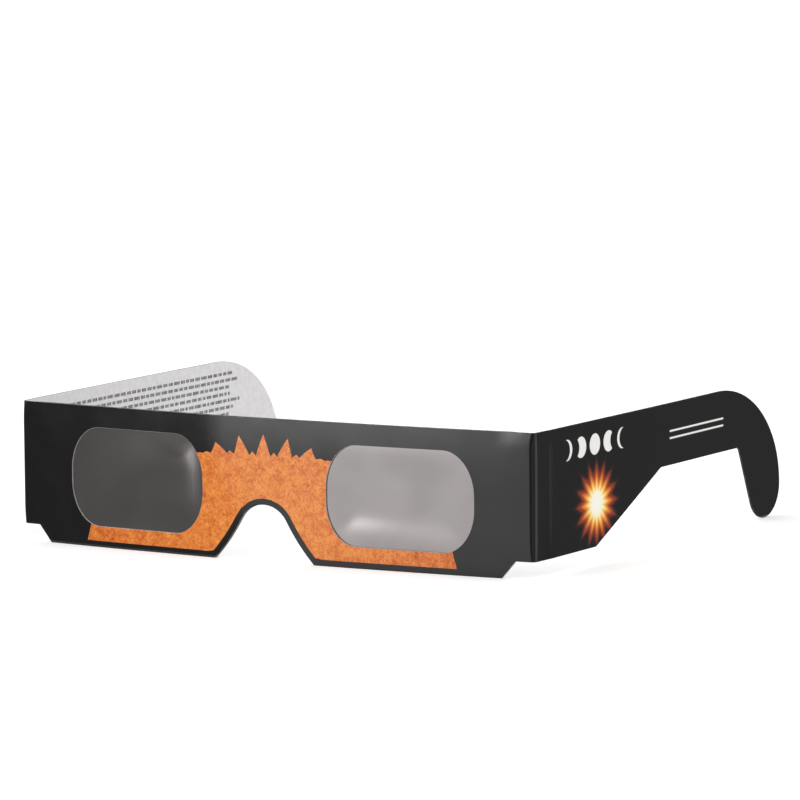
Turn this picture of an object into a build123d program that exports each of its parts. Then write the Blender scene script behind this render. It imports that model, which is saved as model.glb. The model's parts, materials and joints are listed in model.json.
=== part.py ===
from build123d import *
import os
from math import cos, degrees, radians, sin, tan

# Card eclipse glasses, opened for use and standing on a table.
# Millimetres and degrees. +Z is up, and the printed front faces -Y.
# The origin lies under the middle of the whole object, on the table.

# The die-cut blank, measured flat along the card
FRONT_WIDTH = 140.0
PANEL_HEIGHT = 33.8
NECK_HEIGHT = 4.1
NECK_LENGTH = 4.7
CHAMFER_LENGTH = 3.5
CREASE_PITCH = 7.4
ARM_LENGTH = 114.6

# Card, glue, film and the pressed crease lines
CARD_THICKNESS = 0.4
GLUE_THICKNESS = 0.1
CREASE_WIDTH = 2.0
CREASE_THICKNESS = 0.3
CREASE_SINK = 0.15
HINGE_DEPTH = 0.15

# Card left round the windows, and how far each film reaches past its window
BRIDGE_WIDTH = 33.6
TEMPLE_WIDTH = 15.0
WINDOW_SILL = 5.05
WINDOW_HEADER = 5.05
WINDOW_CORNER = 8.5
FILM_MARGIN = 3.2
FILM_CORNER = 1.0
FILM_CLEARANCE = 0.2

# Nose notch: a round crown that flares to its corners, each this far inside its window's edge
NOTCH_SHOULDER = 3.3
NOTCH_HEIGHT = 13.4
NOTCH_CROWN = 7.0
NOTCH_FLANK_ANGLE = 29.5

# Arm: deep root, slanted cut, slim middle and round ear hook
ARM_ROOT = 20.7
ARM_SLIM_START = 52.6
ARM_SLIM_BASE = 19.2
ARM_CORNER = 1.0
HOOK_TIP_RADIUS = 7.9
HOOK_SHOULDER = 31.6
HOOK_LEAN = 24.0

# The shape it takes when opened for use
BOW_ANGLE = 12.0
FRONT_FOLD = 80.0
ARM_FOLD = 3.0

OVERRUN = 1.0


def heading(angle):
    """The way a card panel runs, seen from above."""
    return Vector(cos(radians(angle)), sin(radians(angle)), 0)


def outward(angle):
    """The way that panel's printed face looks."""
    return Vector(sin(radians(angle)), -cos(radians(angle)), 0)


# The front is bowed to a large radius, and its printed face is the outer arc
bow_radius = FRONT_WIDTH / radians(BOW_ANGLE)
front_end = FRONT_WIDTH / 2 - CREASE_WIDTH / 2
end_angle = degrees(front_end / bow_radius)
strip_angle = end_angle + FRONT_FOLD
arm_angle = strip_angle + ARM_FOLD

# Places along the front, from its middle, and the windows between them
neck_start = FRONT_WIDTH / 2 - NECK_LENGTH
chamfer_start = neck_start - CHAMFER_LENGTH
notch_half_width = BRIDGE_WIDTH / 2 - NOTCH_SHOULDER
window_width = FRONT_WIDTH / 2 - TEMPLE_WIDTH - BRIDGE_WIDTH / 2
window_height = PANEL_HEIGHT - WINDOW_SILL - WINDOW_HEADER
window_middle = (BRIDGE_WIDTH + window_width) / 2


def across(along):
    """The sideways place of a point that lies this far along the bowed card."""
    return bow_radius * sin(along / bow_radius)


# Both hinge lines, for a front whose middle is at Y = 0, and then the whole depth
end_back = bow_radius * (1 - cos(radians(end_angle)))
front_hinge = (
    Vector(across(front_end), end_back, 0)
    + heading(end_angle) * (CREASE_WIDTH / 2)
    - outward(end_angle) * HINGE_DEPTH
)
arm_hinge = front_hinge + heading(strip_angle) * CREASE_PITCH
arm_tip = arm_hinge + heading(arm_angle) * ARM_LENGTH
depth = (arm_tip - outward(arm_angle) * (CARD_THICKNESS - HINGE_DEPTH)).Y
to_centre = Vector(0, -depth / 2, 0)
front_hinge += to_centre
arm_hinge += to_centre
bow_centre = Vector(0, bow_radius, 0) + to_centre
hinge_height = PANEL_HEIGHT - NECK_HEIGHT


def bowed_band(outer_radius, thickness, half_length):
    """The plan of a bowed layer that reaches half_length each way along the front."""
    half_angle = degrees(half_length / bow_radius)
    with BuildLine() as plan:
        outer = CenterArc(bow_centre, outer_radius, -90 - half_angle, 2 * half_angle)
        inner = CenterArc(bow_centre, outer_radius - thickness, -90 - half_angle, 2 * half_angle)
        Line(outer @ 0, inner @ 0)
        Line(outer @ 1, inner @ 1)
    return plan.edges()


def notched_outline(outer_points):
    """The front's face: the nose notch, these points up one side, and the same mirrored."""
    crown_height = NOTCH_HEIGHT - NOTCH_CROWN
    crown_sweep = 180 - 2 * NOTCH_FLANK_ANGLE
    with BuildLine() as outline:
        crown = CenterArc((0, crown_height), NOTCH_CROWN, NOTCH_FLANK_ANGLE, crown_sweep)
        flank = TangentArc(crown @ 0, (across(notch_half_width), 0), tangent=crown % 0 * -1)
        mirror(flank, about=Plane.YZ)
        side = Polyline(flank @ 1, *outer_points, (0, PANEL_HEIGHT))
        mirror(side, about=Plane.YZ)
    return outline.edges()


def windows(margin=0, corner=WINDOW_CORNER, mode=Mode.SUBTRACT, sides=(-1, 1)):
    """Both windows, or one, with a margin all round."""
    middle_height = WINDOW_SILL + window_height / 2
    places = [(side * across(window_middle), middle_height) for side in sides]
    with Locations(*places):
        RectangleRounded(window_width + 2 * margin, window_height + 2 * margin, corner, mode=mode)


# Lower corners of the front card, which steps up to the neck, and of the shorter back card
front_corners = [
    (across(chamfer_start), 0),
    (across(neck_start), NECK_HEIGHT),
    (across(FRONT_WIDTH / 2) + OVERRUN, NECK_HEIGHT),
    (across(FRONT_WIDTH / 2) + OVERRUN, PANEL_HEIGHT),
]
back_corners = [
    (across(chamfer_start), 0),
    (across(neck_start), NECK_HEIGHT),
    (across(neck_start), PANEL_HEIGHT),
]

with BuildPart() as front_card:
    with BuildSketch():
        make_face(bowed_band(bow_radius, CARD_THICKNESS, front_end))
    extrude(amount=PANEL_HEIGHT)
    with BuildSketch(Plane.XZ):
        make_face(notched_outline(front_corners))
        windows()
    extrude(amount=depth, both=True, mode=Mode.INTERSECT)
front_card.part.label = "front_card"

with BuildPart() as back_card:
    with BuildSketch():
        make_face(bowed_band(bow_radius - CARD_THICKNESS - GLUE_THICKNESS, CARD_THICKNESS, front_end))
    extrude(amount=PANEL_HEIGHT)
    with BuildSketch(Plane.XZ):
        make_face(notched_outline(back_corners))
        windows()
    extrude(amount=depth, both=True, mode=Mode.INTERSECT)
back_card.part.label = "back_card"

with BuildPart() as glue_layer:
    with BuildSketch():
        make_face(bowed_band(bow_radius - CARD_THICKNESS, GLUE_THICKNESS, front_end))
    extrude(amount=PANEL_HEIGHT)
    with BuildSketch(Plane.XZ):
        make_face(notched_outline(back_corners))
        windows(FILM_MARGIN + FILM_CLEARANCE, FILM_CORNER)
    extrude(amount=depth, both=True, mode=Mode.INTERSECT)
glue_layer.part.label = "glue_layer"

pieces = [front_card, back_card, glue_layer]

for side_name, side in (("left", -1), ("right", 1)):
    with BuildPart() as film:
        with BuildSketch():
            make_face(bowed_band(bow_radius - CARD_THICKNESS, GLUE_THICKNESS, front_end))
        extrude(amount=PANEL_HEIGHT)
        with BuildSketch(Plane.XZ):
            windows(FILM_MARGIN, FILM_CORNER, Mode.ADD, (side,))
        extrude(amount=depth, both=True, mode=Mode.INTERSECT)
    film.part.label = side_name + "_filter_film"
    pieces.append(film)


def panel_plane(hinge, angle):
    """A card panel's printed face: X runs along the card, Y is up, and the hinge line is at X = 0."""
    return Plane(hinge + outward(angle) * HINGE_DEPTH, x_dir=heading(angle), z_dir=outward(angle))


with BuildPart() as strip:
    with BuildSketch(panel_plane(front_hinge, strip_angle)):
        with Locations((CREASE_WIDTH / 2, NECK_HEIGHT)):
            Rectangle(CREASE_PITCH - CREASE_WIDTH, hinge_height, align=Align.MIN)
    extrude(amount=-CARD_THICKNESS)
strip.part.label = "right_hinge_strip"

with BuildPart() as arm:
    with BuildSketch(panel_plane(arm_hinge, arm_angle)):
        tip_x = ARM_LENGTH - HOOK_TIP_RADIUS
        tip_turn = 180 - HOOK_LEAN
        with BuildLine():
            shoulder = EllipticalCenterArc(
                (ARM_LENGTH - HOOK_SHOULDER, HOOK_TIP_RADIUS),
                HOOK_SHOULDER,
                PANEL_HEIGHT - HOOK_TIP_RADIUS,
                arc_size=90,
            )
            tip = CenterArc((tip_x, HOOK_TIP_RADIUS), HOOK_TIP_RADIUS, 0, -tip_turn)
            # the hook's inner edge leaves the round tip and meets the slim part's lower edge
            inner_run = (ARM_SLIM_BASE - (tip @ 1).Y) * tan(radians(HOOK_LEAN))
            inner_corner = ((tip @ 1).X - inner_run, ARM_SLIM_BASE)
            lower_edge = FilletPolyline(
                tip @ 1,
                inner_corner,
                (ARM_SLIM_START, ARM_SLIM_BASE),
                (ARM_ROOT, NECK_HEIGHT),
                (CREASE_WIDTH / 2, NECK_HEIGHT),
                radius=ARM_CORNER,
            )
            Polyline(lower_edge @ 1, (CREASE_WIDTH / 2, PANEL_HEIGHT), shoulder @ 1)
        make_face()
    extrude(amount=-CARD_THICKNESS)
arm.part.label = "right_arm"


def crease(hinge, angle, fold):
    """The plan of a crease that bends from one panel's heading by its fold."""
    outer_radius = CREASE_WIDTH / 2 / tan(radians(fold / 2)) + HINGE_DEPTH
    start = hinge + outward(angle) * HINGE_DEPTH - heading(angle) * (CREASE_WIDTH / 2)
    centre = start - outward(angle) * outer_radius
    with BuildLine() as plan:
        outer = CenterArc(centre, outer_radius - CREASE_SINK, angle - 90, fold)
        inner = CenterArc(centre, outer_radius - CREASE_SINK - CREASE_THICKNESS, angle - 90, fold)
        Line(outer @ 0, inner @ 0)
        Line(outer @ 1, inner @ 1)
    return plan.edges()


with BuildPart() as front_crease:
    with BuildSketch(Plane.XY.offset(NECK_HEIGHT)):
        make_face(crease(front_hinge, end_angle, FRONT_FOLD))
    extrude(amount=hinge_height)
front_crease.part.label = "right_front_crease"

with BuildPart() as arm_crease:
    with BuildSketch(Plane.XY.offset(NECK_HEIGHT)):
        make_face(crease(arm_hinge, strip_angle, ARM_FOLD))
    extrude(amount=hinge_height)
arm_crease.part.label = "right_arm_crease"

# The left side is the right side mirrored
for right_piece in (strip, arm, front_crease, arm_crease):
    with BuildPart() as left_piece:
        mirror(right_piece.part, about=Plane.YZ)
    left_piece.part.label = right_piece.part.label.replace("right", "left")
    pieces += [right_piece, left_piece]

os.makedirs("parts", exist_ok=True)
for piece in pieces:
    export_step(piece.part, f"parts/{piece.part.label}.step")

print("bow radius", round(bow_radius, 2))
print("whole depth", round(depth, 3))
print("right front hinge at", front_hinge)
print("right arm hinge at", arm_hinge)
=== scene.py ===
# %% [markdown]
# # Card eclipse glasses
# The real object is one die-cut blank of black printed card, folded twice at each side, with a
# shorter grey card glued behind its front and a silvery filter film held between the two.
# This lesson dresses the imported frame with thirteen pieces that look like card, glue and film,
# and lights them as a small product photograph.

import json
from functools import partial
from math import asin, atan2, ceil, cos, degrees, exp, pi, radians, sin, tan

import bmesh
import bpy
import numpy as np
from mathutils import Matrix, Vector
from mathutils.geometry import tessellate_polygon


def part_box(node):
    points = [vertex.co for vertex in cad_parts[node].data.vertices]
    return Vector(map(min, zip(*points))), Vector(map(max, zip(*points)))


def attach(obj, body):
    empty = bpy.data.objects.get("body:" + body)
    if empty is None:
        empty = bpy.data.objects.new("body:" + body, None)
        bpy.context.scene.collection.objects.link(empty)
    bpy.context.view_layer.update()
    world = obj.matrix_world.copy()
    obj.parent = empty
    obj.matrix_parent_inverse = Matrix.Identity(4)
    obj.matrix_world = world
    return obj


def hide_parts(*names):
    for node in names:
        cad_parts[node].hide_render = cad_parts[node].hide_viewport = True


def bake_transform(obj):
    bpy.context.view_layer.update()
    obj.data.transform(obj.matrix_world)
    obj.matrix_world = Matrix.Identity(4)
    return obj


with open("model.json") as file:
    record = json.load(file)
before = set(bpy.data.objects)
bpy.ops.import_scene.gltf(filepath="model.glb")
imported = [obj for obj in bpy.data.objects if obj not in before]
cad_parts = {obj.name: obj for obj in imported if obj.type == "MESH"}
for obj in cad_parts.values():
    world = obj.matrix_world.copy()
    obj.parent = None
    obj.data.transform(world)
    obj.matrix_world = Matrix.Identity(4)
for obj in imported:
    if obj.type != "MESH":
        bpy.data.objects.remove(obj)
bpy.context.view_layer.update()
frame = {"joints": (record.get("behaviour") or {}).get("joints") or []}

# %% [markdown]
# ## Sizes
# Card work is drawn flat, in millimetres, and only then folded up. So every size below is a flat
# millimetre size, as on a die maker's drawing, and MM turns it into Blender's metres at the
# very end. What the frame already knows, such as the heights and the two hinge lines on each
# side, is read from it, so that the dressing can't drift away from the frame.

# %% Flat sizes, in millimetres
MM = 0.001

CARD_THICKNESS = 0.4
GLUE_THICKNESS = 0.1
HINGE_DEPTH = 0.15
FRONT_WIDTH = 140.0
BOW_ANGLE = 12.0
NECK_LENGTH = 4.7
CHAMFER_LENGTH = 3.5
CREASE_WIDTH = 2.0

BRIDGE_WIDTH = 33.6
TEMPLE_WIDTH = 15.0
WINDOW_SILL = 5.05
WINDOW_HEADER = 5.05
WINDOW_CORNER = (8.0, 10.4)
FILM_MARGIN = 3.2
FILM_CORNER = (1.0, 1.0)
FILM_CLEARANCE = 0.2

NOTCH_SHOULDER = 3.3
NOTCH_HEIGHT = 13.4
NOTCH_CROWN = 7.0
NOTCH_FLANK_ANGLE = 29.5

ARM_FOLD = 3.0
ARM_ROOT = 20.7
ARM_SLIM_START = 52.6
ARM_SLIM_BASE = 18.9
ARM_CORNER = 1.4
ARM_LENGTH = 114.6
HOOK_TIP_RADIUS = 7.9
HOOK_SHOULDER = 31.6
HOOK_LEAN = 24.0

panel_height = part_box("front_card")[1].z / MM
neck_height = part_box("right_hinge_strip")[0].z / MM
print("panel height", round(panel_height, 2), "neck height", round(neck_height, 2))

# %% Places that follow from them
bow_radius = FRONT_WIDTH / radians(BOW_ANGLE)
front_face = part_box("front_card")[0].y / MM
bow_centre = Vector((0, front_face + bow_radius, 0))
end_angle = degrees((FRONT_WIDTH - CREASE_WIDTH) / 2 / bow_radius)
neck_start = FRONT_WIDTH / 2 - NECK_LENGTH
chamfer_start = neck_start - CHAMFER_LENGTH
notch_half_width = BRIDGE_WIDTH / 2 - NOTCH_SHOULDER
window_width = FRONT_WIDTH / 2 - TEMPLE_WIDTH - BRIDGE_WIDTH / 2
window_height = panel_height - WINDOW_SILL - WINDOW_HEADER
window_middle = (BRIDGE_WIDTH + window_width) / 2
window_level = WINDOW_SILL + window_height / 2

hinges = {joint["name"]: Vector(joint["pos_m"]) / MM for joint in frame["joints"]}
front_hinge = hinges["right_front_fold"]
arm_hinge = hinges["right_arm_fold"]
strip_run = arm_hinge - front_hinge
crease_pitch = strip_run.length
strip_angle = degrees(atan2(strip_run.y, strip_run.x))
arm_angle = strip_angle + ARM_FOLD
front_fold = strip_angle - end_angle
print("bow radius", round(bow_radius, 1), "window", round(window_width, 1), round(window_height, 1))
print("panels run at", round(end_angle, 2), round(strip_angle, 2), round(arm_angle, 2), "degrees")

# %% [markdown]
# ## From flat card to folded card
# Each panel has its own map from a flat point to a place in space. A flat point is how far along
# the card it lies, how high, and how deep behind the printed face. The front is drawn as it looks
# from straight ahead, and its map lays it on a large arc. A side panel's map runs straight from
# its hinge line. Real card has a little life in it too: the front bends more beside one window,
# where so little card is left, its top edge curls, and the arms are never quite flat. So each map
# adds a few tenths of a millimetre, which the satin print shows as soft changes of light.

# %% The bowed front
FRONT_HELD = 67.0
HELD_RUN = 14.0
CURL_RUN = 6.0
BEND_PLACE = -13.0
BEND_REACH = 9.0
BEND_HEIGHT = 0.32
TOP_CURL = 0.56
CURL_DEPTH = 11.0
FRONT_WAVE = 0.04
WAVE_LENGTH = 9.0
LIP_DEPTH = 0.26
LIP_HEIGHT = 3.4
LIP_START = 57.0


def smooth(value, low, high):
    """Runs gently from 0 at low to 1 at high."""
    share = min(1.0, max(0.0, (value - low) / (high - low)))
    return share * share * (3 - 2 * share)


def hump(value, middle, reach):
    """A soft hump that is 1 at its middle and nearly gone two reaches away."""
    return exp(-(((value - middle) / reach) ** 2))


def lip(height):
    """How far the top edge leans back at the front's right-hand upper corner."""
    return LIP_DEPTH * smooth(height, panel_height - LIP_HEIGHT, panel_height + LIP_HEIGHT / 3)


def front_life(along, height):
    """How far the real card stands off its arc here, towards the viewer."""
    bend = BEND_HEIGHT * hump(along, BEND_PLACE, BEND_REACH)
    curl = TOP_CURL * smooth(height, panel_height - CURL_DEPTH, panel_height + CURL_DEPTH)
    wave = FRONT_WAVE * sin(along / WAVE_LENGTH) * cos(height / WAVE_LENGTH)
    from_end = FRONT_HELD - abs(along)
    corner = lip(height) * smooth(along, LIP_START, FRONT_HELD)
    free = smooth(from_end, 0, HELD_RUN) * (bend + wave)
    return free - smooth(from_end, 0, CURL_RUN) * curl - corner


def across(along):
    """The sideways place of a point that lies this far along the bowed card."""
    return bow_radius * sin(along / bow_radius)


def on_front(sideways, height, depth):
    """A point of the front, in space. It keeps its angle on the arc at every depth."""
    turn = asin(sideways / bow_radius)
    reach = bow_radius - depth + front_life(bow_radius * turn, height)
    point = bow_centre + Vector((sin(turn), -cos(turn), 0)) * reach
    return Vector((point.x, point.y, height)) * MM


print("the front's face is at y", round(on_front(0, 0, 0).y / MM, 2))

# %% The side panels
ARM_SWAY = 0.3
SWAY_START = 6.0


def heading(angle):
    """The way a panel runs, seen from above."""
    return Vector((cos(radians(angle)), sin(radians(angle)), 0))


def outward(angle):
    """The way that panel's printed face looks."""
    return Vector((sin(radians(angle)), -cos(radians(angle)), 0))


def arm_life(along):
    """An arm sways out a little along its length, and its hook turns back in."""
    return ARM_SWAY * smooth(along, SWAY_START, ARM_LENGTH) * sin(2 * pi * along / ARM_LENGTH)


def flat_life(along):
    """A hinge strip is too narrow to be anything but flat."""
    return 0.0


def on_panel(hinge, angle, life, side):
    """The map of a panel that leaves its hinge at this angle. side is 1, or -1 for the left."""

    def place(along, height, depth):
        off = HINGE_DEPTH - depth + life(along)
        point = hinge + heading(angle) * along + outward(angle) * off
        return Vector((side * point.x, point.y, height)) * MM

    return place


arm_tip = on_panel(arm_hinge, arm_angle, flat_life, 1)(ARM_LENGTH, 0, 0) / MM
print("arm tip at", [round(c, 1) for c in arm_tip])

# %% [markdown]
# ## Creases
# A crease in printed card isn't a knife edge: the bend runs round a small radius, which the print
# shows as a dark band and a bright line beside it. Here each fold has its own radius. The
# right-hand one has sprung back to a wide, round bend, which tightens towards its cut ends, and
# the left-hand one is tight and opens there. A fold that lies nearly open, where an arm begins,
# shows the creasing rule's own mark instead, which is a shallow score with a low bead beside it.

# %% The map of a crease
FOLD_RADII = {1: 1.55, -1: 0.6}
END_RADII = {1: 1.15, -1: 1.3}
CREASE_FADE = 4.5
LIP_FADE = (0.2, -1.0)
SCORE_REACH = 0.3
SCORE_DEPTH = 0.06
SCORE_BEAD_PLACE = -0.75
SCORE_BEAD_REACH = 0.25
SCORE_BEAD_HEIGHT = 0.045


def pressed(height):
    """How firmly the rule pressed here: fully in the middle, and faintly at the cut ends."""
    from_end = min(height - neck_height, panel_height - height)
    return smooth(from_end, -CREASE_FADE / 4, CREASE_FADE)


def deep_crease(side):
    """The relief of a crease that stays folded: only the front's lip, which ends in it."""

    def relief(along, height):
        return -max(0, side) * lip(height) * smooth(along, *LIP_FADE)

    return relief


def light_crease(along, height):
    """The relief of a crease that lies nearly open: a shallow score beside a low bead."""
    score = SCORE_DEPTH * hump(along, 0, SCORE_REACH)
    bead = SCORE_BEAD_HEIGHT * hump(along, SCORE_BEAD_PLACE, SCORE_BEAD_REACH)
    return pressed(height) * (bead - score)


def on_crease(hinge, angle, fold, relief, side):
    """The map of a crease that turns from one panel's angle by its fold, round a small radius.

    The card bends more softly at its cut ends, where the rule pressed less."""

    def place(along, height, depth):
        radius = END_RADII[side] + (FOLD_RADII[side] - END_RADII[side]) * pressed(height)
        reach = radius * tan(radians(fold / 2))
        centre = hinge - heading(angle) * reach - outward(angle) * radius
        on_bend = min(reach, max(-reach, along))
        turned = angle + fold * (on_bend + reach) / (2 * reach)
        off = radius + HINGE_DEPTH - depth + relief(along, height)
        point = centre + outward(turned) * off + heading(turned) * (along - on_bend)
        return Vector((side * point.x, point.y, height)) * MM

    return place


print("fold radii", FOLD_RADII, "and at their cut ends", END_RADII)

# %% [markdown]
# ## Outlines
# The die's steel rule is bent, never carved, so each outline is a few straight runs and true
# arcs, and no corner is quite sharp. The functions below give those runs as points, close enough
# together that an arc still looks round in a close-up.

# %% Arcs and rounded corners
ARC_STEP = 0.5
DIE_CORNER = 0.35
TURN_STEP = radians(15)
SHARP_TURN = radians(12)


def arc(centre, radii, start, sweep):
    """Points along an arc, or a stretch of an ellipse. Angles are in degrees."""
    count = max(2, ceil(radians(abs(sweep)) * max(radii) / ARC_STEP))
    turns = [radians(start + sweep * i / count) for i in range(count + 1)]
    return [Vector((centre[0] + radii[0] * cos(t), centre[1] + radii[1] * sin(t))) for t in turns]


def rounded(points, radius, square=()):
    """Rounds the sharp corners of a closed outline, apart from those at the square places."""
    result = []
    for before, corner, after in zip(points[-1:] + points[:-1], points, points[1:] + points[:1]):
        into = (corner - before).normalized()
        out = (after - corner).normalized()
        turn = into.angle(out)
        if turn < SHARP_TURN or any(abs(corner.x - place) < ARC_STEP / 10 for place in square):
            result.append(corner)
            continue
        shortest = min((corner - before).length, (after - corner).length)
        bend = min(radius, shortest / 2 / tan(turn / 2))
        start = corner - into * bend * tan(turn / 2)
        inner = (out - into * cos(turn)).normalized()
        steps = max(2, ceil(turn / TURN_STEP))
        for turned in (turn * i / steps for i in range(steps + 1)):
            result.append(start + into * bend * sin(turned) + inner * bend * (1 - cos(turned)))
    return result


# %% The front's outline, with its nose notch
front_reach = across(FRONT_WIDTH / 2 - CREASE_WIDTH)
front_ends = (-front_reach, front_reach)
backing_ends = (-across(neck_start), across(neck_start))


def front_outline(reach):
    """The front, cut off at this reach each way."""
    crown_level = NOTCH_HEIGHT - NOTCH_CROWN
    crown = arc((0, crown_level), (NOTCH_CROWN, NOTCH_CROWN), 90, NOTCH_FLANK_ANGLE - 90)
    shoulder = Vector((across(notch_half_width), 0))
    away = Vector((cos(radians(NOTCH_FLANK_ANGLE)), sin(radians(NOTCH_FLANK_ANGLE))))
    chord = shoulder - crown[-1]
    flare = chord.length_squared / (2 * chord.dot(away))
    flare_centre = crown[-1] + away * flare
    down = shoulder - flare_centre
    flare_end = degrees(atan2(down.y, down.x)) % 360
    flare_start = NOTCH_FLANK_ANGLE + 180
    flank = arc(flare_centre, (flare, flare), flare_start, flare_end - flare_start)
    steps = [(across(chamfer_start), 0), (across(neck_start), neck_height)]
    ends = [(reach, neck_height), (reach, panel_height)]
    corners = [step for step in steps if step[0] < reach] + ends
    half = crown[1:] + flank[1:] + [Vector(corner) for corner in corners]
    return [crown[0]] + half + [Vector((-p.x, p.y)) for p in reversed(half)]


def window(side, margin, radii):
    """The outline of a window, or of a film that reaches past it by a margin.

    Its corners have these radii, across and up."""
    middle = side * across(window_middle)
    sizes = (window_width, window_height)
    right, top = ((size + 2 * margin) / 2 - radius for size, radius in zip(sizes, radii))
    signs = ((1, 1), (-1, 1), (-1, -1), (1, -1))
    points = []
    for quarter, (x, y) in enumerate(signs):
        points += arc((middle + x * right, window_level + y * top), radii, quarter * 90, 90)
    return points


printed_front = rounded(front_outline(front_reach), DIE_CORNER, front_ends)
backing_front = rounded(front_outline(backing_ends[1]), DIE_CORNER)
print("front outline has", len(printed_front), "points")


# %% The outlines of a strip and an arm
def panel_box(start, end):
    """A plain rectangle of card between two places along it, from the neck to the top edge."""
    levels = (neck_height, neck_height, panel_height, panel_height)
    return [Vector(corner) for corner in zip((start, end, end, start), levels)]


def arm_outline(start):
    """An arm: a deep root, a slanted cut, a slim middle and a round hook for the ear."""
    tip_centre = (ARM_LENGTH - HOOK_TIP_RADIUS, HOOK_TIP_RADIUS)
    tip = arc(tip_centre, (HOOK_TIP_RADIUS, HOOK_TIP_RADIUS), HOOK_LEAN - 180, 180 - HOOK_LEAN)
    shoulder_centre = (ARM_LENGTH - HOOK_SHOULDER, HOOK_TIP_RADIUS)
    shoulder = arc(shoulder_centre, (HOOK_SHOULDER, panel_height - HOOK_TIP_RADIUS), 0, 90)
    inner_run = (ARM_SLIM_BASE - tip[0].y) * tan(radians(HOOK_LEAN))
    lower = [
        (start, neck_height),
        (ARM_ROOT, neck_height),
        (ARM_SLIM_START, ARM_SLIM_BASE),
        (tip[0].x - inner_run, ARM_SLIM_BASE),
    ]
    points = [Vector(p) for p in lower] + tip + shoulder[1:] + [Vector((start, panel_height))]
    return rounded(points, ARM_CORNER, (start,))


print("arm outline has", len(arm_outline(0)), "points")


# %% [markdown]
# ## Cutting a sheet of card
# A curve object could fill and extrude these outlines, but it fills them with long thin triangles
# that crumple when the sheet is bent. Here the outline is filled first, then sliced by a grid of
# straight lines, and every edge that isn't on the grid or on the cut is taken out again. What is
# left is a neat grid of squares with odd cells only along the cuts. The face is then given its
# back, and a rim. The steel rule presses the printed edge over by a twentieth of a millimetre, and
# leaves the back edge nearly square. Where a panel runs on into a crease, the rim stays square too
# and keeps the print, so that no line shows.

# %% A flat face with a neat grid
LINE_SLACK = 1e-3
CUT_SLACK = 1e-5


def lines_between(low, high, gap):
    """Evenly spaced grid lines strictly between two places, about this gap apart."""
    count = max(1, round((high - low) / gap))
    return [low + (high - low) * i / count for i in range(1, count)]


def square_grid(across_ends, height_ends, gap):
    """The columns and rows of a grid of squares, about this large."""
    return lines_between(*across_ends, gap), lines_between(*height_ends, gap)


def flat_face(outline, holes, columns, rows):
    """The outline without its holes, as a flat mesh sliced along the columns and rows."""
    mesh = bmesh.new()
    verts = [mesh.verts.new((p.x, p.y, 0)) for loop in (outline, *holes) for p in loop]
    for triangle in tessellate_polygon([outline, *holes]):
        face = mesh.faces.new([verts[i] for i in triangle])
        face.normal_update()
        if face.normal.z < 0:
            face.normal_flip()
    for axis, lines in enumerate((columns, rows)):
        normal = Vector((axis == 0, axis == 1, 0))
        for line in lines:
            everything = [*mesh.verts, *mesh.edges, *mesh.faces]
            cut = {"dist": CUT_SLACK, "plane_co": normal * line, "plane_no": normal}
            bmesh.ops.bisect_plane(mesh, geom=everything, **cut)

    def on_grid(edge):
        a, b = (v.co for v in edge.verts)
        return any(
            abs(a[axis] - line) < LINE_SLACK and abs(b[axis] - line) < LINE_SLACK
            for axis, lines in enumerate((columns, rows))
            for line in lines
        )

    stray = [edge for edge in mesh.edges if not edge.is_boundary and not on_grid(edge)]
    bmesh.ops.dissolve_edges(mesh, edges=stray, use_verts=False, use_face_split=False)
    spare = [v for v in mesh.verts if not v.is_boundary and len(v.link_edges) == 2]
    bmesh.ops.dissolve_verts(mesh, verts=spare)
    return mesh


# %% The sheet's thickness and its rim
EDGE_BREAK = 0.05
BACK_BREAK = 0.01
STRAIGHT = 0.02
SMOOTH_TURN = radians(28)


def inset_corner(normal_in, gap_in, normal_out, gap_out):
    """How far a rim corner moves in, so that it lies these gaps from the two edges it joins."""
    cross = normal_in.x * normal_out.y - normal_in.y * normal_out.x
    if abs(cross) < STRAIGHT:
        return (normal_in * gap_in + normal_out * gap_out) / 2
    x = (gap_in * normal_out.y - gap_out * normal_in.y) / cross
    y = (gap_out * normal_in.x - gap_in * normal_out.x) / cross
    return Vector((x, y))


def is_joined(edge, joined):
    """Whether an edge lies along one of the places where the sheet runs on into the next."""
    return any(sum(abs(v.co.x - x) for v in edge.verts) < LINE_SLACK for x in joined)


def rim_insets(face_mesh, joined):
    """Which way each rim vertex moves in. Edges along the joined places don't move at all."""
    sides = {}
    for edge in face_mesh.edges:
        if not edge.is_boundary:
            continue
        loop = edge.link_loops[0]
        start, end = loop.vert, loop.link_loop_next.vert
        run = (end.co - start.co).normalized()
        side = (Vector((-run.y, run.x)), 0.0 if is_joined(edge, joined) else 1.0)
        sides.setdefault(start, {})["out"] = side
        sides.setdefault(end, {})["in"] = side
    return {v: inset_corner(*side["in"], *side["out"]) for v, side in sides.items()}


def distance_to(outline, joined, points):
    """The distance from each point to the nearest cut. A joined edge isn't a cut."""
    starts = np.array([p[:2] for p in outline])
    runs = np.roll(starts, -1, axis=0) - starts
    nearest = np.full(len(points), np.inf)
    for start, run in zip(starts, runs):
        if any(abs(start[0] - x) + abs(start[0] + run[0] - x) < LINE_SLACK for x in joined):
            continue
        away = points - start
        share = np.clip(away @ run / (run @ run), 0, 1)
        nearest = np.minimum(nearest, np.hypot(*(away - share[:, None] * run).T))
    return nearest


def put_up(name, data):
    """A new object of the scene, which holds this mesh, lamp or camera."""
    made = bpy.data.objects.new(name, data)
    bpy.context.scene.collection.objects.link(made)
    return made


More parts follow.
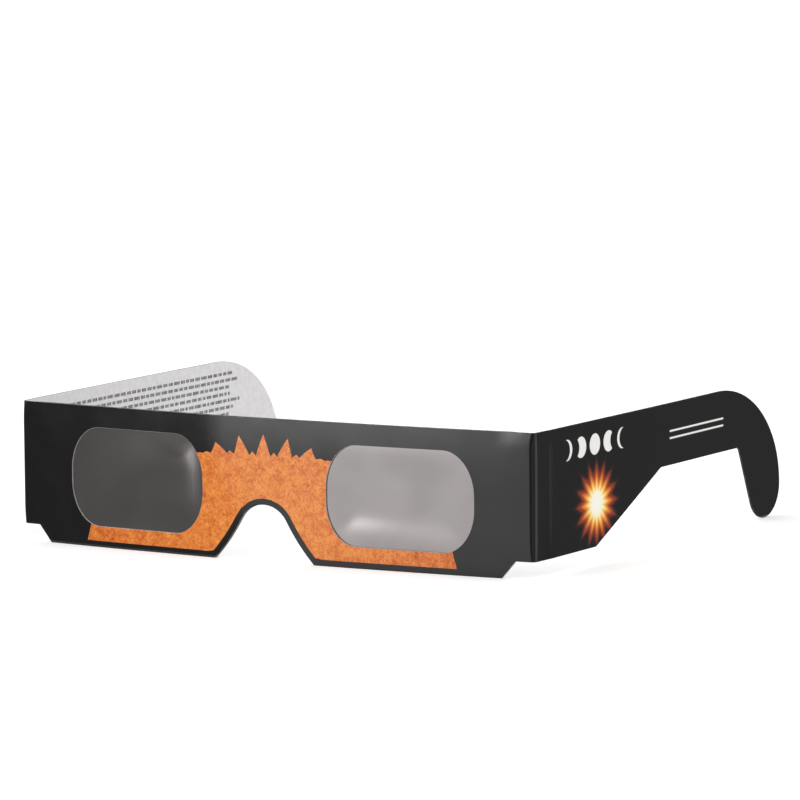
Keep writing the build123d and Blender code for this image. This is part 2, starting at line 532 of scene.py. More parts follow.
def cut_sheet(
    name,
    outline,
    grid,
    place,
    holes=(),
    depths=(0, CARD_THICKNESS),
    joined=(),
    edge_break=EDGE_BREAK,
    along=float,
):
    """A sheet with a printed face, a rim and an inner face, bent into place by its map.

    Each vertex also keeps its flat place, and its distance to the outline, for the prints."""
    face_mesh = flat_face(outline, holes, *grid)
    insets = rim_insets(face_mesh, joined)
    back_break = min(edge_break, BACK_BREAK)
    near, far = depths
    flat = np.array([v.co[:2] for v in face_mesh.verts])
    gaps = distance_to(outline, joined, flat)
    sheet = bmesh.new()
    template = sheet.verts.layers.float_vector.new("template_mm")
    edge_gap = sheet.verts.layers.float.new("edge_mm")

    def put(x, y, depth, gap):
        vert = sheet.verts.new(place(x, y, depth))
        vert[template] = (along(x), y, depth)
        vert[edge_gap] = gap
        return vert

    rings = {}
    for vert, gap in zip(face_mesh.verts, gaps):
        x, y = vert.co[:2]
        inset = insets.get(vert, Vector((0, 0)))
        front, back = inset * edge_break, inset * back_break
        rings[vert] = [put(x + front.x, y + front.y, near, gap)]
        if vert in insets:
            rings[vert] += [put(x, y, near + edge_break, gap), put(x, y, far - back_break, gap)]
        rings[vert].append(put(x + back.x, y + back.y, far, gap))
    for face in face_mesh.faces:
        sheet.faces.new([rings[v][0] for v in face.verts]).material_index = 0
        sheet.faces.new([rings[v][-1] for v in reversed(face.verts)]).material_index = 2
    for edge in face_mesh.edges:
        if edge.is_boundary:
            a, b = (rings[v] for v in edge.verts)
            rim_material = 0 if is_joined(edge, joined) else 1
            for step in range(len(a) - 1):
                face = sheet.faces.new((a[step], b[step], b[step + 1], a[step + 1]))
                face.material_index = rim_material
    bmesh.ops.recalc_face_normals(sheet, faces=sheet.faces)
    for face in sheet.faces:
        face.smooth = True
    mesh = bpy.data.meshes.new(name)
    sheet.to_mesh(mesh)
    mesh.set_sharp_from_angle(angle=SMOOTH_TURN)
    face_mesh.free()
    sheet.free()
    print(name, len(mesh.polygons), "faces")
    return put_up(name, mesh)


def finish_sheet(piece, materials, node):
    """Gives a sheet its face, rim and inner materials, and hides the frame's part that it stands in
    for.
    """
    for material in materials:
        piece.data.materials.append(material)
    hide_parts(node)


# %% [markdown]
# ## Materials
# Every print and grain below is drawn in the sheet's own flat millimetres, which each vertex
# carries with it. So a pattern is as large as on the real card, it follows the card round each
# bend, and it stays put when the arms fold. FLAT_PLACE reads that place, and CUT_GAP reads how far
# it lies from the sheet's outer cut.

# %% Colour and node helpers
SRGB_TOE = 0.04045
FLAT_PLACE = {"attribute_name": "template_mm", "output": "Vector"}
CUT_GAP = {"attribute_name": "edge_mm", "output": "Fac"}


def linear(code):
    """An sRGB hex colour as Blender's linear red, green, blue and alpha."""
    shares = [int(code[i : i + 2], 16) / 255 for i in (1, 3, 5)]
    return (*[s / 12.92 if s <= SRGB_TOE else ((s + 0.055) / 1.055) ** 2.4 for s in shares], 1.0)


def add_node(tree, kind, inputs=(), output=None, **settings):
    """Adds one node, and hands back the output of this name, or else the first that it has in use.

    A math node's kind ends with its operation. Inputs come by name, or as a list for those in use.
    Each is a plain value, a hex colour or another node's output."""
    kind, *operation = kind.split()
    node = tree.nodes.new("ShaderNode" + kind)
    if operation:
        node.operation = operation[0]
    for name, value in settings.items():
        setattr(node, name, value)
    if not isinstance(inputs, dict):
        inputs = dict(zip([i for i, socket in enumerate(node.inputs) if socket.enabled], inputs))
    for key, value in inputs.items():
        if isinstance(value, bpy.types.NodeSocket):
            tree.links.new(value, node.inputs[key])
        else:
            node.inputs[key].default_value = linear(value) if isinstance(value, str) else value
    if output:
        return node.outputs[output]
    return next((socket for socket in node.outputs if socket.enabled), None)


def new_material(name):
    """An empty material, and a short form of add_node for it."""
    made = bpy.data.materials.new(name)
    made.use_nodes = True
    made.node_tree.nodes.clear()
    return made, partial(add_node, made.node_tree)


def about(add, flat, centre):
    """The distance from a centre, the angle about it, and how far above it a place lies."""
    away = add("VectorMath SUBTRACT", [flat, centre])
    aside, above, _ = add("SeparateXYZ", [away]).node.outputs
    radius = add("VectorMath LENGTH", [away])
    return radius, add("Math ARCTAN2", [aside, above]), above


def set_ramp(ramp, stops):
    """Gives a colour ramp these stops, each a place and a hex colour."""
    while len(ramp.elements) < len(stops):
        ramp.elements.new(1.0)
    for element, (place, code) in zip(ramp.elements, stops):
        element.position = place
        element.color = linear(code)


def give_surface(add, looks, relief=None, depth=0.0):
    """Ends a material with these looks, and with a relief this many millimetres deep."""
    if relief:
        bump = {"Height": relief, "Strength": 1.0, "Distance": depth * MM}
        looks = {**looks, "Normal": add("Bump", bump)}
    add("OutputMaterial", {"Surface": add("BsdfPrincipled", looks)})


# %% [markdown]
# ### The printed sun
# The front carries a print in warm orange. Here it is a plain low sun about the nose notch, with
# a crown of tapered rays, a traditional sunburst. It is drawn from two numbers, the distance to
# the sun's centre and the angle about it: an angle folded back and forth gives evenly spaced rays,
# and letting each ray's share of that angle shrink with the distance gives it a point. Offset ink
# on coated card looks mottled from close by, so noise at the size of the mottles mixes five inks.

# %% The sunburst on the front
SUN_CENTRE = (0.0, -4.0, 0.0)
RAY_PITCH = radians(11.25)
SUN_HEIGHT = 26.5
SUN_HALF_WIDTH = 51.0
RAY_LENGTH = 7.5
LEAST_RAY = 0.3
RAYS_FROM = 0.7
SHORT_RAY = 0.45
INK_EDGE = 0.07
BORDER_WIDTH = 1.5
GRANULE = 0.8
GRANULE_CONTRAST = 1.05
MOTTLE = 2.6
DEEPENS = (14.0, 62.0, -0.02, -0.18)
SUN_INKS = (
    (0.08, "#893A10"),
    (0.3, "#B4571C"),
    (0.48, "#C6732D"),
    (0.68, "#D2873D"),
    (1.0, "#E3AB66"),
)


def ray_fan(add, radius, angle, upright, offset, length_share):
    """The distance, in millimetres, from a ray's edge: above zero inside a ray of this fan."""
    turn = add("Math MULTIPLY_ADD", [angle, 1 / RAY_PITCH, offset])
    folded = add("Math PINGPONG", [turn, 0.5])
    start = add("MapRange", [upright, 0.0, 1.0, SUN_HALF_WIDTH, SUN_HEIGHT])
    length = add("MapRange", [upright, RAYS_FROM, 1.0, LEAST_RAY, length_share * RAY_LENGTH])
    reach = add("Math ADD", [start, length])
    share = add("MapRange", [radius, start, reach, 0.5, 0.0], clamp=False)
    spare = add("Math SUBTRACT", [share, folded])
    width = add("Math MULTIPLY", [radius, RAY_PITCH])
    return add("Math MULTIPLY", [spare, width])


def mottled(add, flat):
    """A number that wavers about a half, in granules within larger mottles."""
    crumbs = {"Scale": 1 / GRANULE, "Detail": 2.5, "Roughness": 0.62, "Distortion": 1.2}
    fine = add("TexNoise", {"Vector": flat, **crumbs})
    broad = add("TexNoise", [flat, 1 / MOTTLE, 2])
    sharp = add("Math MULTIPLY_ADD", [fine, GRANULE_CONTRAST, (0.5 - GRANULE_CONTRAST) / 2])
    return add("Math MULTIPLY_ADD", [broad, 0.5, sharp])


def sun_print(add, flat):
    """The front's print, as a colour and the share of the card that it covers."""
    radius, angle, above = about(add, flat, SUN_CENTRE)
    rise = add("Math DIVIDE", [above, radius])
    upright = add("Math MULTIPLY", [rise, rise])
    long_rays = ray_fan(add, radius, angle, upright, 0.0, 1.0)
    short_rays = ray_fan(add, radius, angle, upright, 0.5, SHORT_RAY)
    rays = add("Math MAXIMUM", [long_rays, short_rays])
    gap = add("Attribute", **CUT_GAP)
    clear = add("Math SUBTRACT", [gap, BORDER_WIDTH])
    inside = add("Math MINIMUM", [rays, clear])
    cover = add("MapRange", [inside, -INK_EDGE, INK_EDGE])
    deepen = add("MapRange", [radius, *DEEPENS])
    ink = add("Math ADD", [mottled(add, flat), deepen])
    colour = add("ValToRGB", [ink])
    set_ramp(colour.node.color_ramp, SUN_INKS)
    return colour, cover


# %% [markdown]
# ### The arm's ornament
# Each arm carries a small radiant sun with a warm glow, a row of plain discs that wax and wane,
# and a pair of fine rules. A glow is one colour ramp along the distance from its centre. Letting
# that distance swell and shrink with the angle gives it points.

# %% The small sun
STAR_CENTRE = (21.0, 14.2, 0.0)
STAR_REACH = 12.8
STAR_POINTS = 16
STAR_SPREAD = 0.4
STAR_FADE = (1.0, 0.8)
STAR_GLOW = (
    (0.0, "#FFFFFA"),
    (0.26, "#FFF8DC"),
    (0.36, "#FFD873"),
    (0.47, "#EE8F34"),
    (0.62, "#A23F1A"),
    (0.82, "#33140F"),
    (1.0, "#121213"),
)


def star_glow(add, flat):
    """The small sun's colour, which runs out into the black."""
    radius, angle, above = about(add, flat, STAR_CENTRE)
    turn = add("Math MULTIPLY", [angle, STAR_POINTS / (2 * pi)])
    folded = add("Math PINGPONG", [turn, 0.5])
    swell = add("Math MULTIPLY_ADD", [folded, 2 * STAR_SPREAD, 1.0])
    far = add("Math MULTIPLY", [radius, swell])
    share = add("Math DIVIDE", [far, STAR_REACH])
    colour = add("ValToRGB", [share])
    set_ramp(colour.node.color_ramp, STAR_GLOW)
    return colour, add("MapRange", [share, *STAR_FADE])


# %% The discs and the rules
DISC_START = 7.0
DISC_LEVEL = 28.2
DISC_PITCH = 6.6
DISC_RADIUS = 2.5
DISC_LAST = 4
FULL_SLIDE = 2.2
SLIM_SLIDE = 0.45
RULE_START = 57.0
RULE_END = 85.0
RULE_LEVEL = 26.2
RULE_GAP = 1.7
RULE_WIDTH = 0.5
PALE_INK = "#F1EFEC"


def disc_row(add, flat):
    """The share of pale ink in the row of discs, each bitten by a shadow of its own size."""
    along, height, _ = add("SeparateXYZ", [flat]).node.outputs
    count = add("MapRange", [along, DISC_START, DISC_START + DISC_PITCH], clamp=False)
    whole = add("Math ROUND", [count])
    number = add("Clamp", [whole, 0.0, DISC_LAST])
    offset = add("Math SUBTRACT", [count, number])
    aside = add("Math MULTIPLY", [offset, DISC_PITCH])
    above = add("Math SUBTRACT", [height, DISC_LEVEL])
    middle = add("Math SUBTRACT", [number, DISC_LAST / 2])
    lean = add("Math SIGN", [middle])
    wane = add("Math ABSOLUTE", [middle])
    full, slim = FULL_SLIDE * DISC_RADIUS, SLIM_SLIDE * DISC_RADIUS
    slide = add("MapRange", [wane, 0.0, DISC_LAST / 2, full, slim])
    shift = add("Math MULTIPLY", [lean, slide])
    bitten = add("Math SUBTRACT", [aside, shift])
    rim = (DISC_RADIUS + INK_EDGE, DISC_RADIUS - INK_EDGE)
    shares = []
    for sideways, ends in ((aside, rim), (bitten, rim[::-1])):
        spot = add("CombineXYZ", [sideways, above])
        reach = add("VectorMath LENGTH", [spot])
        shares.append(add("MapRange", [reach, *ends]))
    lit = add("Math LESS_THAN", [wane, 0.5])
    kept = add("Math MAXIMUM", [shares[1], lit])
    return add("Math MULTIPLY", [shares[0], kept])


def rule_pair(add, flat):
    """The share of pale ink in two fine rules, one above the other."""
    along, height, _ = add("SeparateXYZ", [flat]).node.outputs
    above = add("Math SUBTRACT", [height, RULE_LEVEL])
    mirrored = add("Math ABSOLUTE", [above])
    off_line = add("Math SUBTRACT", [mirrored, RULE_GAP / 2])
    middle = add("Math SUBTRACT", [along, (RULE_START + RULE_END) / 2])
    shares = []
    for offset, edge in ((off_line, RULE_WIDTH / 2), (middle, (RULE_END - RULE_START) / 2)):
        off = add("Math ABSOLUTE", [offset])
        shares.append(add("MapRange", [off, edge + INK_EDGE, edge - INK_EDGE]))
    return add("Math MULTIPLY", shares)


def arm_print(add, flat):
    """The arm's whole print, as a colour and the share of the card that it covers."""
    glow, glow_cover = star_glow(add, flat)
    pale = add("Math MAXIMUM", [disc_row(add, flat), rule_pair(add, flat)])
    colour = add("Mix", [pale, glow, PALE_INK], data_type="RGBA")
    return colour, add("Math MAXIMUM", [pale, glow_cover])


# %% [markdown]
# ### Black printed card
# The board is litho printed solid black and then laminated with a satin film. Satin means a
# smooth skin over a slightly uneven board, so the gloss is even but the reflections are soft and
# waver. IOR 1.49 is that of the polypropylene laminate. Dust and handling leave it a little rougher
# in patches, and along the cuts the ink has flaked here and there, down to the board.

# %% Printed card
INK_BLACK = "#060608"
INK_WORN = "#8C8987"
LAMINATE_IOR = 1.49
SATIN = (0.16, 0.2)
SATIN_SPAN = (0.3, 0.7)
FLAKE = 0.9
FLAKE_REACH = 0.16
FLAKE_SPAN = (0.44, 0.56)
BOARD_GRAIN = 0.7
BOARD_WAVE = 7.0
GRAIN_SHARE = 0.12
PRINT_RELIEF = 0.02


def printed_card(name, art=None):
    """Satin black card, with or without a print."""
    made, add = new_material(name)
    flat = add("Attribute", **FLAT_PLACE)
    grain = add("TexNoise", [flat, 1 / BOARD_GRAIN, 3])
    wave = add("TexNoise", [flat, 1 / BOARD_WAVE, 2])
    colour = INK_BLACK
    if art:
        art_colour, cover = art(add, flat)
        colour = add("Mix", [cover, colour, art_colour], data_type="RGBA")
    gap = add("Attribute", **CUT_GAP)
    near = add("MapRange", [gap, FLAKE_REACH, 0.0])
    flake = add("TexNoise", [flat, 1 / FLAKE, 4])
    loose = add("Math MULTIPLY", [near, flake])
    worn = add("MapRange", [loose, *FLAKE_SPAN])
    colour = add("Mix", [worn, colour, INK_WORN], data_type="RGBA")
    rough = add("MapRange", [wave, *SATIN_SPAN, *SATIN])
    uneven = add("Math MULTIPLY_ADD", [grain, GRAIN_SHARE, wave])
    looks = {"Base Color": colour, "Roughness": rough, "IOR": LAMINATE_IOR}
    give_surface(add, looks, uneven, PRINT_RELIEF)
    return made


front_print = printed_card("satin laminated print, front", art=sun_print)
arm_face = printed_card("satin laminated print, arm", art=arm_print)
plain_print = printed_card("satin laminated print, plain")
print("prints", [made.name for made in (front_print, arm_face, plain_print)])

# %% [markdown]
# ### The board's other faces
# The unprinted side is light grey recycled board, uncoated, so it is matt and shows fibres and
# flecks. The inner face of each arm carries rows of plain dark bars, each broken into short pieces.
# A row is a whole number that steps down the card, and one-dimensional cells along it, shifted
# from row to row, break its bar into uneven pieces and each piece into strokes.

# %% Grey board
LINER_PALE = "#DEDCDD"
LINER_DARK = "#D2D0D1"
LINER_SPAN = (0.55, 0.95)
LINER_ROUGHNESS = 0.85
LINER_RELIEF = 0.01
FIBRE = 0.35
FLECK = 1.6
BAR_INK = "#3F3E40"
BAR_TOP = 30.8
BAR_PITCH = 1.75
BAR_SHARE = 0.46
BAR_ROWS = 7
BAR_START = 5.0
BAR_END = 94.0
BAR_RAGGED = 6.0
PIECE = 2.6
PIECE_GAP = 0.1
STROKE = 0.42
STROKE_GAP = 0.13
ROW_SHIFT = 7.31


def small_bars(add, flat):
    """The share of ink in rows of plain bars, which are broken into short pieces."""
    along, height, _ = add("SeparateXYZ", [flat]).node.outputs
    down = add("MapRange", [height, BAR_TOP, BAR_TOP - BAR_PITCH], clamp=False)
    row = add("Math FLOOR", [down])
    in_row = add("Math FRACT", [down])
    share = add("Math LESS_THAN", [in_row, BAR_SHARE])
    shift = add("Math MULTIPLY", [row, ROW_SHIFT])
    place = add("Math MULTIPLY_ADD", [along, 1 / PIECE, shift])
    cells = {"voronoi_dimensions": "1D", "feature": "DISTANCE_TO_EDGE"}
    kept = []
    for scale, gap in ((1.0, PIECE_GAP), (PIECE / STROKE, STROKE_GAP)):
        breaks = add("TexVoronoi", [place, scale], **cells)
        kept.append(add("Math GREATER_THAN", [breaks, gap]))
    ragged = add("TexWhiteNoise", [row], noise_dimensions="1D")
    end = add("Math MULTIPLY_ADD", [ragged, -BAR_RAGGED, BAR_END])
    kept.append(add("Math LESS_THAN", [along, end]))
    kept.append(add("Math GREATER_THAN", [along, BAR_START]))
    kept.append(add("Math GREATER_THAN", [row, -0.5]))
    kept.append(add("Math LESS_THAN", [row, BAR_ROWS - 0.5]))
    for each in kept:
        share = add("Math MULTIPLY", [share, each])
    return share


def grey_board(name, bars=False):
    """Uncoated grey board, fibrous and matt, with or without the rows of bars."""
    made, add = new_material(name)
    flat = add("Attribute", **FLAT_PLACE)
    felted = {"Vector": flat, "Scale": 1 / FIBRE, "Detail": 4, "Distortion": 1.2}
    fibre = add("TexNoise", felted)
    fleck = add("TexNoise", [flat, 1 / FLECK, 5])
    mixed = add("Math MULTIPLY_ADD", [fibre, 0.5, fleck])
    share = add("MapRange", [mixed, *LINER_SPAN])
    colour = add("Mix", [share, LINER_PALE, LINER_DARK], data_type="RGBA")
    if bars:
        colour = add("Mix", [small_bars(add, flat), colour, BAR_INK], data_type="RGBA")
    give_surface(add, {"Base Color": colour, "Roughness": LINER_ROUGHNESS}, fibre, LINER_RELIEF)
    return made


bare_board = grey_board("uncoated grey board")
barred_board = grey_board("uncoated grey board with small bars", bars=True)
print("board", [made.name for made in (bare_board, barred_board)])

# %% [markdown]
# The cut edge shows the middle plies, which the steel rule has pressed and dirtied. Noise that is
# squeezed through the card's thickness draws them as thin layers. Round the outside the rule also
# dragged black ink down over them, and in the windows they stayed paler.

# %% The cut edge
CORE_GREY = "#B4B1AE"
CORE_DARK = "#85827F"
CORE_INKED = "#383635"
CORE_SPAN = (0.35, 0.65)
CORE_ROUGHNESS = 0.9
CORE_RELIEF = 0.02
INKED_REACH = 0.5
DRAGGED_SPAN = (0.72, 0.58)
PLY_RUN = 0.6
PLY_THICKNESS = 0.09


def cut_board(name):
    """The cut edge: pressed plies of grey fibre, smudged by the ink of both faces."""
    made, add = new_material(name)
    flat = add("Attribute", **FLAT_PLACE)
    gap = add("Attribute", **CUT_GAP)
    scales = (1 / PLY_RUN, 1 / PLY_RUN, 1 / PLY_THICKNESS)
    drawn = add("VectorMath MULTIPLY", [flat, scales])
    plies = add("TexNoise", [drawn, 1.0, 4])
    share = add("MapRange", [plies, *CORE_SPAN])
    colour = add("Mix", [share, CORE_DARK, CORE_GREY], data_type="RGBA")
    outside = add("Math LESS_THAN", [gap, INKED_REACH])
    dragged = add("MapRange", [plies, *DRAGGED_SPAN])
    smudge = add("Math MULTIPLY", [outside, dragged])
    colour = add("Mix", [smudge, colour, CORE_INKED], data_type="RGBA")
    give_surface(add, {"Base Color": colour, "Roughness": CORE_ROUGHNESS}, plies, CORE_RELIEF)
    return made


cut_edge = cut_board("cut board edge")
print("edge", cut_edge.name)

# %% [markdown]
# ### Filter film and glue
# The film is polyester with a thin coat of metal, so it is a mirror, only a dim one: the coat
# isn't even, and its polymer is dark. A metal keeps Blender's default IOR, and its base colour is
# what it reflects. The glue is a dried, slightly cloudy line between the two cards.

# %% Film and glue
FILM_SILVER = "#948F8F"
FILM_DIM = "#8D8888"
FILM_ROUGHNESS = 0.135
CLOUD = 14.0
CLOUD_SPAN = (0.35, 0.65)
GLUE_CLEAR = "#E6E2D6"
GLUE_HAZY = "#CFCAB8"
GLUE_ROUGHNESS = 0.35
GLUE_IOR = 1.48


def metal_film(name):
    """Metallised polyester film, with soft clouds where the coat is thinner."""
    made, add = new_material(name)
    flat = add("Attribute", **FLAT_PLACE)
    clouds = {"Vector": flat, "Scale": 1 / CLOUD, "Detail": 1.5, "Distortion": 0.6}
    share = add("MapRange", [add("TexNoise", clouds), *CLOUD_SPAN])
    colour = add("Mix", [share, FILM_DIM, FILM_SILVER], data_type="RGBA")
    give_surface(add, {"Base Color": colour, "Metallic": 1.0, "Roughness": FILM_ROUGHNESS})
    return made


def dried_glue(name):
    """Clear glue, dried a little cloudy."""
    made, add = new_material(name)
    flat = add("Attribute", **FLAT_PLACE)
    haze = add("TexNoise", [flat, 1 / FLECK, 2])
    colour = add("Mix", [haze, GLUE_HAZY, GLUE_CLEAR], data_type="RGBA")
    give_surface(add, {"Base Color": colour, "Roughness": GLUE_ROUGHNESS, "IOR": GLUE_IOR})
    return made


film_metal = metal_film("metallised polyester film")
glue = dried_glue("dried clear glue")
print("film and glue", film_metal.name, glue.name)

# %% [markdown]
# ## The pieces of the front
# Three layers follow the same bowed map, each at its own depth: the printed card, the two films
# with the glue round them, and the grey card behind.

# %% Printed card, glue and backing card
CELL = 2.0


def along_front(sideways):
    """How far along the bowed card this sideways place lies."""
    return bow_radius * asin(sideways / bow_radius)


both_windows = [window(side, 0, WINDOW_CORNER) for side in (-1, 1)]
pockets = [window(side, FILM_MARGIN + FILM_CLEARANCE, FILM_CORNER) for side in (-1, 1)]
glue_depth = CARD_THICKNESS + GLUE_THICKNESS

front_grid, backing_grid = (
    square_grid(ends, (0, panel_height), CELL) for ends in (front_ends, backing_ends)
)
front_cut = {"holes": both_windows, "joined": front_ends}
glue_cut = {"holes": pockets, "depths": (CARD_THICKNESS, glue_depth), "edge_break": BACK_BREAK}
backing_cut = {"holes": both_windows, "depths": (glue_depth, glue_depth + CARD_THICKNESS)}
layers = (
    ("printed_front", printed_front, front_grid, front_cut),
    ("glue_line", backing_front, backing_grid, glue_cut),
    ("backing_front", backing_front, backing_grid, backing_cut),
)
front_sheet, glue_sheet, backing_sheet = (
    cut_sheet(name, outline, grid, on_front, along=along_front, **cut)
    for name, outline, grid, cut in layers
)
finish_sheet(front_sheet, (front_print, cut_edge, bare_board), "front_card")
finish_sheet(glue_sheet, [glue] * 3, "glue_layer")
finish_sheet(backing_sheet, (bare_board, cut_edge, bare_board), "back_card")
for piece in (front_sheet, glue_sheet, backing_sheet):
    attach(piece, "front")

# %% [markdown]
# The film isn't stretched tight. It lies in its pocket and bellies by a few tenths of a
# millimetre in the open window, which a mirror shows at once as soft clouds of light. The left
# one stands a little forward in its window, most of all near its inner end. The right one hangs
# back and waves.

# %% The two films
FILM_CELL = 1.2
FILM_BULGES = {-1: -0.16, 1: 0.28}
FILM_WAVES = {-1: 0.02, 1: 0.15}
LOOSE_REACH = 8.5
INNER_CURLS = {-1: -0.27, 1: 0.0}
CURL_CREST = 5.4
CURL_END = 17.0
FILM_RIPPLE_UP = 5.0
FILM_RIPPLE_ALONG = 9.0
FILM_SLACK = 0.005


def on_film(side):
    """The film's map: the front's own, plus the film's belly inside the window."""
    middle = side * across(window_middle)

    def place(sideways, height, depth):
        into_x = window_width / 2 - abs(sideways - middle)
        into_y = window_height / 2 - abs(height - window_level)
        loose = smooth(min(into_x, into_y), 0, LOOSE_REACH)
        from_inner_end = window_width / 2 + side * (sideways - middle)
        crest = smooth(from_inner_end, 0, CURL_CREST) * smooth(from_inner_end, CURL_END, CURL_CREST)
        curl = INNER_CURLS[side] * crest * smooth(into_y, 0, LOOSE_REACH)
        ripple = (1 + sin((middle - sideways) / FILM_RIPPLE_ALONG)) / 2
        wave = cos((height - window_level) / FILM_RIPPLE_UP) * ripple
        belly = FILM_BULGES[side] + FILM_WAVES[side] * wave
        return on_front(sideways, height, depth + loose * belly + curl)

    return place


for side, side_name in ((-1, "left"), (1, "right")):
    middle = side * across(window_middle)
    half_width = window_width / 2 + FILM_MARGIN
    half_height = window_height / 2 + FILM_MARGIN
    width_ends = (middle - half_width, middle + half_width)
    height_ends = (window_level - half_height, window_level + half_height)
    film = cut_sheet(
        side_name + "_film",
        window(side, FILM_MARGIN, FILM_CORNER),
        square_grid(width_ends, height_ends, FILM_CELL),
        on_film(side),
        depths=(CARD_THICKNESS + FILM_SLACK, glue_depth - FILM_SLACK),
        edge_break=BACK_BREAK,
        along=along_front,
    )
    finish_sheet(film, [film_metal] * 3, side_name + "_filter_film")
    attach(film, "front")

# %% [markdown]
# ## Strips, arms and creases
# The sides are the same blank carried on. Each crease is its own sheet, bent round its fold
# between its two panels. It starts before the bend and ends after it, where it has already gone
# flat, so that the seam can't be seen.

# %% The sides
FRONT_CREASE_START = -CREASE_WIDTH
FRONT_CREASE_END = 1.4
ARM_CREASE_REACH = 1.3
CREASE_CELL = 0.1
CREASE_ROW = 0.9

front_crease_box = panel_box(FRONT_CREASE_START, FRONT_CREASE_END)
arm_crease_box = panel_box(-ARM_CREASE_REACH, ARM_CREASE_REACH)
strip_start, strip_end = FRONT_CREASE_END, crease_pitch - ARM_CREASE_REACH
rows = lines_between(neck_height, panel_height, CREASE_ROW)

for side, side_name in ((1, "right"), (-1, "left")):
    front_crease_map = on_crease(front_hinge, end_angle, front_fold, deep_crease(side), side)
    arm_crease_map = on_crease(arm_hinge, strip_angle, ARM_FOLD, light_crease, side)
    strip = cut_sheet(
        side_name + "_strip",
        panel_box(strip_start, strip_end),
        (lines_between(strip_start, strip_end, CELL), rows[1::2]),
        on_panel(front_hinge, strip_angle, flat_life, side),
        joined=(strip_start, strip_end),
    )
    card = (plain_print, cut_edge, bare_board)
    finish_sheet(strip, card, side_name + "_hinge_strip")
    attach(strip, side_name + "_strip")

    arm = cut_sheet(
        side_name + "_arm_card",
        arm_outline(ARM_CREASE_REACH),
        square_grid((ARM_CREASE_REACH, ARM_LENGTH), (0, panel_height), CELL),
        on_panel(arm_hinge, arm_angle, arm_life, side),
        joined=(ARM_CREASE_REACH,),
    )
    finish_sheet(arm, (arm_face, cut_edge, barred_board), side_name + "_arm")
    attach(arm, side_name + "_arm")

    folds = (
        ("front", front_crease_box, front_crease_map, "front", side_name + "_strip"),
        ("arm", arm_crease_box, arm_crease_map, side_name + "_strip", side_name + "_arm"),
    )
    for crease_name, box, crease_map, first_body, second_body in folds:
        start, end = box[0].x, box[1].x
        crease = cut_sheet(
            f"{side_name}_{crease_name}_fold",
            box,
            (lines_between(start, end, CREASE_CELL), rows),
            crease_map,
            joined=(start, end),
        )
        node = f"{side_name}_{crease_name}_crease"
        finish_sheet(crease, card, node)
        bend_start = crease_map(-CREASE_WIDTH / 2, 0, CARD_THICKNESS)
        bend_end = crease_map(CREASE_WIDTH / 2, 0, CARD_THICKNESS)
        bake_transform(crease)

# %% [markdown]
# ## Floor, lamps and camera
# The photograph is a white cut-out with soft light from everywhere. Its satin print is dark at
# one end and lighter at the other, so something dark stood at the left and lamps stood in front.
# So the world is a plain white, a large lamp above fills the tops, three softboxes stand low in
# front, where the print and the films mirror them, and one stands at the side. Dark cards lie and
# stand round the rest, as a photographer would place them, so that black print stays black. The
# gaps between them draw the bright lines along the right-hand fold. The cards show only in gloss.

# %% Floor and world
FLOOR_HALF = 40.0
FLOOR_WHITE = "#F4F4F4"
FLOOR_ROUGHNESS = 0.9
FLOOR_LIFT = 0.22
WHITE = "#FFFFFF"
WORLD_LEVEL = 0.9


def seen_at_once(add):
    """1 for a ray that shows this surface as it is: the camera's, or one off gloss or by glass."""
    path = add("LightPath").node.outputs
    seen = path["Is Camera Ray"]
    for kind in ("Is Glossy Ray", "Is Transmission Ray"):
        seen = add("Math MAXIMUM", [seen, path[kind]])
    return seen


floor_mesh = bpy.data.meshes.new("floor")
signs = ((-1, -1), (1, -1), (1, 1), (-1, 1))
corners = [(x * FLOOR_HALF, y * FLOOR_HALF, 0) for x, y in signs]
floor_mesh.from_pydata(corners, [], [(0, 1, 2, 3)])
paper, add = new_material("white sweep")
lift = add("Math MULTIPLY", [seen_at_once(add), FLOOR_LIFT])
looks = {"Base Color": FLOOR_WHITE, "Roughness": FLOOR_ROUGHNESS, "Specular IOR Level": 0.0}
glow = {"Emission Color": WHITE, "Emission Strength": lift}
give_surface(add, {**looks, **glow})
floor_mesh.materials.append(paper)
floor = put_up("floor", floor_mesh)

world = bpy.data.worlds.new("white room")
bpy.context.scene.world = world
world.use_nodes = True
world.node_tree.nodes.clear()
add = partial(add_node, world.node_tree)
level = add("MapRange", [seen_at_once(add), 0.0, 1.0, WORLD_LEVEL, 1.0])
room = add("Background", {"Color": WHITE, "Strength": level})
add("OutputWorld", {"Surface": room})
print("floor lift", FLOOR_LIFT, "world level", WORLD_LEVEL)

# %% Dark cards round the object
CARD_FAR = 900.0
CARD_TALL = 1000.0
CARD_LIFT = 0.5
CARD_TURN = 10.0
CARD_WALL = "#0A0A0A"


def dull_glow(code):
    """An even, dull surface of this colour, whatever light falls on it."""
    made, add = new_material("dark card " + code[1:])
    dull = add("Emission", {"Color": code, "Strength": 1.0})
    add("OutputMaterial", {"Surface": dull})
    return made


def dark_cards(name, corner, start, end, floor_code):
    """A card on the floor that fans out from a corner, and a tall one along its far side."""
    count = ceil((end - start) / CARD_TURN)
    turns = [radians(start + (end - start) * i / count) for i in range(count + 1)]
    rim = [(corner[0] + sin(t) * CARD_FAR, corner[1] - cos(t) * CARD_FAR) for t in turns]
    points = [(*corner, CARD_LIFT)]
    for level in (CARD_LIFT, CARD_TALL):
        points += [(x, y, level) for x, y in rim]
    fans = [(0, i + 1, i + 2) for i in range(count)]
    walls = [(i + 1, i + 2, i + count + 3, i + count + 2) for i in range(count)]
    mesh = bpy.data.meshes.new(name)
    mesh.from_pydata([Vector(p) * MM for p in points], [], fans + walls)
    for face in mesh.polygons[count:]:
        face.material_index = 1
    for code in (floor_code, CARD_WALL):
        mesh.materials.append(dull_glow(code))
    made = put_up(name, mesh)
    for ray in ("camera", "diffuse", "transmission", "shadow"):
        setattr(made, "visible_" + ray, False)


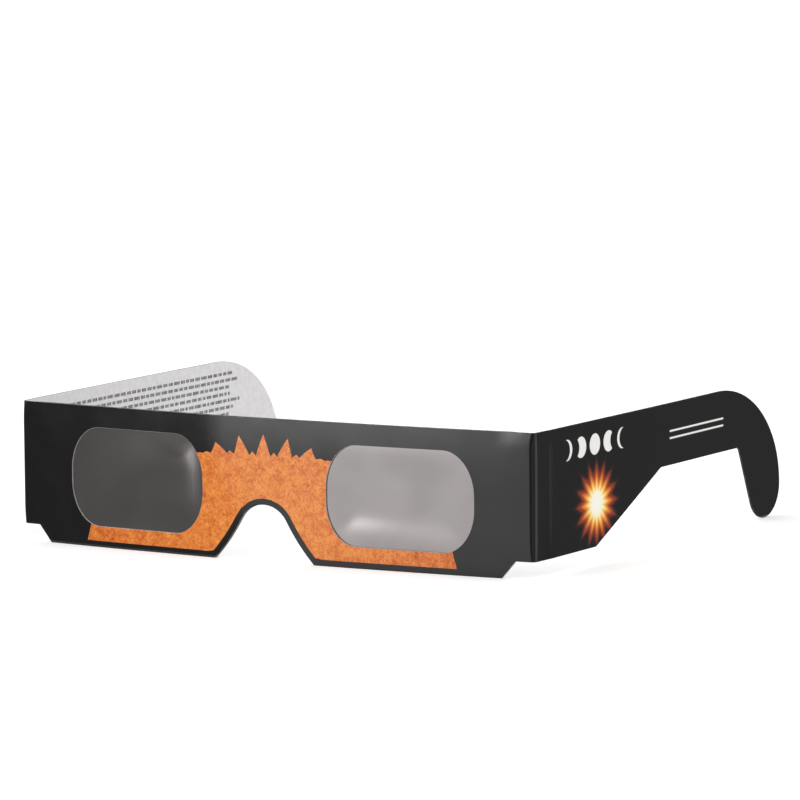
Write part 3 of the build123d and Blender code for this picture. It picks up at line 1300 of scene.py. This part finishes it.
dark_cards("dark cards at the left", (1.0, -66.0), -120, -35.5, "#848484")
dark_cards("dark cards at the right", (76.0, -62.0), -8, 35.5, "#8C8C8C")
dark_cards("dark cards beside them", (76.0, -62.0), 41, 86, "#B0B0B0")
dark_cards("dark cards at the side", (73.0, -56.0), 131, 145, "#909090")
dark_cards("dark cards at the back", (73.0, -56.0), 145, 190, "#808080")

# %% Lamps
LAMP_FAR = 1.2


def softbox(name, azimuth, elevation, size, power):
    """A square lamp that faces the object. Azimuth 0 is straight in front, and 90 to the right."""
    lamp = bpy.data.lights.new(name, "AREA")
    lamp.shape = "SQUARE"
    lamp.size = size
    lamp.energy = power
    holder = put_up(name, lamp)
    turn, rise = radians(azimuth), radians(elevation)
    direction = Vector((sin(turn) * cos(rise), -cos(turn) * cos(rise), sin(rise)))
    holder.location = direction * LAMP_FAR
    holder.rotation_euler = (-holder.location).to_track_quat("-Z", "Y").to_euler()


softbox("lamp above", 0, 80, 1.4, 3.4)
softbox("softbox in front", -23.5, 9.0, 0.36, 1.8)
softbox("small softbox in front", -31, 9.0, 0.14, 3.2)
softbox("small softbox at the corner", -15, 12.0, 0.24, 1.1)
softbox("softbox at the side", 109, 9.0, 0.36, 1.0)
print("lamps", [lamp.name for lamp in bpy.data.lights])

# %% Camera
CAMERA_PLACE = (0.6197, -1.0705, 0.1805)
CAMERA_YAW = 30.04
CAMERA_PITCH = 6.88
CAMERA_ROLL = 0.45
CAMERA_LENS = 230.0
SENSOR_WIDTH = 36.0
CAMERA_SIGHT = 200.0

camera = put_up("camera", bpy.data.cameras.new("camera"))
camera.data.lens = CAMERA_LENS
camera.data.sensor_width = SENSOR_WIDTH
camera.data.clip_end = CAMERA_SIGHT
yawed = Matrix.Rotation(radians(CAMERA_YAW), 4, "Z")
pitched = Matrix.Rotation(radians(90 - CAMERA_PITCH), 4, "X")
rolled = Matrix.Rotation(radians(-CAMERA_ROLL), 4, "Z")
camera.matrix_world = Matrix.Translation(CAMERA_PLACE) @ yawed @ pitched @ rolled
bpy.context.scene.camera = camera
bpy.context.scene.view_settings.view_transform = "Standard"
print("camera at", CAMERA_PLACE)
